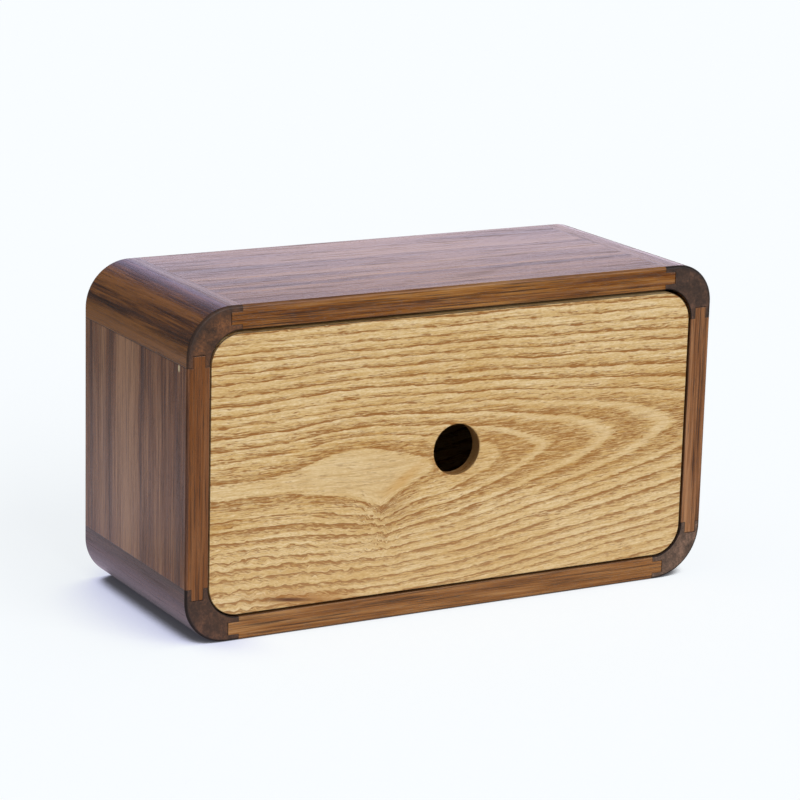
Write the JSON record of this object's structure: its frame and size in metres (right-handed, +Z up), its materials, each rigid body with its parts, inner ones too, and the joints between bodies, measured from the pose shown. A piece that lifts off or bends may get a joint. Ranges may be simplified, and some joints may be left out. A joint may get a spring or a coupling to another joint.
{
  "type": "tissue box with drawer",
  "caption": "Rounded wooden box, a tube of tongued panels and corner blocks, with a pale drawer that slides out of its open front by a round finger hole.",
  "frame": {"origin": "the middle of the base, on the surface that the box stands on", "axes": "+X to the right seen from the front, +Y from the drawer front to the back, +Z up"},
  "size_m": [0.25, 0.103, 0.14],
  "materials": {
    "walnut_panel": "walnut boards, satin varnish, straight grain",
    "walnut_block": "darker walnut blocks, satin varnish, end grain on the rims",
    "ash_front": "pale ash with cathedral grain, matt oil",
    "ash_tray": "pale straight-grained ash, sanded, matt oil",
    "felt": "dark pressed felt"
  },
  "bodies": {
    "casing": {"top_panel": "walnut_panel", "bottom_panel": "walnut_panel", "left_panel": "walnut_panel", "right_panel": "walnut_panel", "corner_top_left": "walnut_block", "corner_top_right": "walnut_block", "corner_bottom_left": "walnut_block", "corner_bottom_right": "walnut_block", "back_panel": "ash_front", "guide_left": "ash_tray", "guide_right": "ash_tray", "rear_bumpers": "felt"},
    "drawer": {"drawer_front": "ash_front", "drawer_left_side": "ash_tray", "drawer_right_side": "ash_tray", "drawer_rear_board": "ash_tray", "drawer_bottom": "ash_tray"}
  },
  "joints": [
    {"name": "drawer_slide", "type": "slide", "parent": "casing", "child": "drawer", "axis": [0, -1, 0], "range_m": [0, 0.08]}
  ]
}
